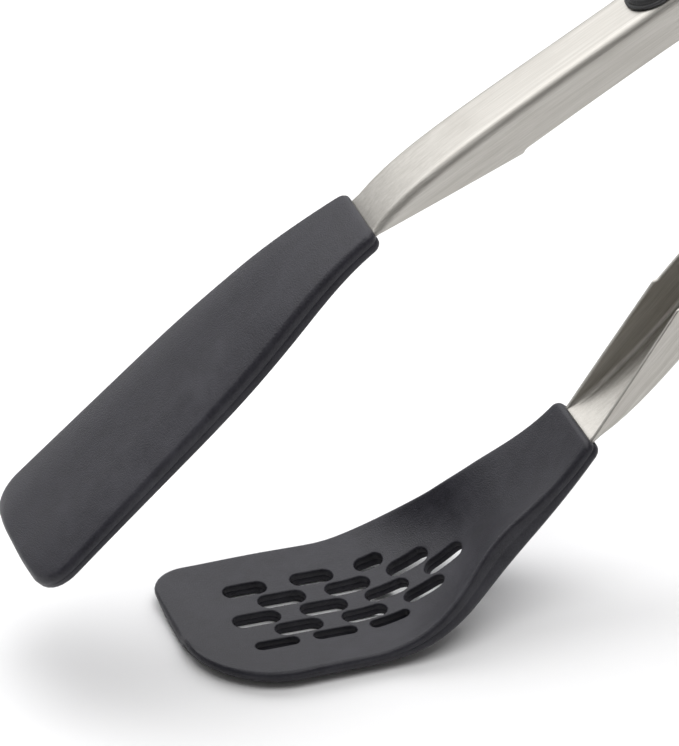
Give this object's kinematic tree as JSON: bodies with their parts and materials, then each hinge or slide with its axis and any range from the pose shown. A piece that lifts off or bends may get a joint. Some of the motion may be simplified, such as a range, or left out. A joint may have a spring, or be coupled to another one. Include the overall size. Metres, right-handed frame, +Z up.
{
  "type": "spring loaded kitchen tongs",
  "caption": "Spring loaded kitchen tongs with a slotted silicone turner head, a plain silicone spatula head, steel arms and a pull-out lock.",
  "frame": {"origin": "middle of the flat rest face under the turner blade, 30 mm behind its tip", "axes": "+X from the heads towards the hinge, Y along the hinge axis, +Z up off the worktop"},
  "size_m": [0.3168, 0.0501, 0.2482],
  "materials": {
    "arm_steel": "lengthwise brushed",
    "silicone": "matt moulded silicone",
    "grip": "soft matt grip",
    "nylon": "moulded nylon",
    "pin_steel": "turned",
    "spring_steel": "drawn wire",
    "bar_steel": "rolled sheet"
  },
  "bodies": {
    "lower": {"lower_arm": "arm_steel", "lower_head": "silicone", "lower_head_core": "nylon", "lower_tang_rivets": "pin_steel", "lower_grip_pad": "grip", "lower_grip_plate": "nylon", "lower_grip_posts": "nylon", "hinge_pin": "pin_steel", "hinge_washers": "pin_steel", "pin_retainer": "pin_steel", "torsion_spring": "spring_steel"},
    "upper": {"upper_arm": "arm_steel", "upper_head": "silicone", "upper_head_core": "nylon", "upper_tang_rivets": "pin_steel", "upper_grip_pad": "grip", "upper_grip_plate": "nylon", "upper_grip_posts": "nylon"},
    "guide": {"lock_guide_near": "nylon", "lock_guide_far": "nylon"},
    "lock": {"lock_bar": "bar_steel", "lock_cross_pin": "pin_steel", "pull_tab": "grip"}
  },
  "joints": [
    {"name": "arm_pivot", "type": "hinge", "parent": "lower", "child": "upper", "pos_m": [0.2119, 0, 0.21638], "axis": [0, -1, 0], "range_deg": [0, 7.8], "stiffness_Nm_per_rad": 1.2, "springref_deg": -20.05, "deforming": ["torsion_spring"]},
    {"name": "guide_turn", "type": "hinge", "parent": "lower", "child": "guide", "pos_m": [0.2119, 0, 0.21638], "axis": [0, -1, 0], "range_deg": [0, 3.9]},
    {"name": "lock_slide", "type": "slide", "parent": "guide", "child": "lock", "axis": [0.766, 0, 0.6428], "range_m": [0, 0.0065]}
  ],
  "couplings": [
    {"joint": "guide_turn", "follows": "arm_pivot", "ratio": 0.5}
  ]
}
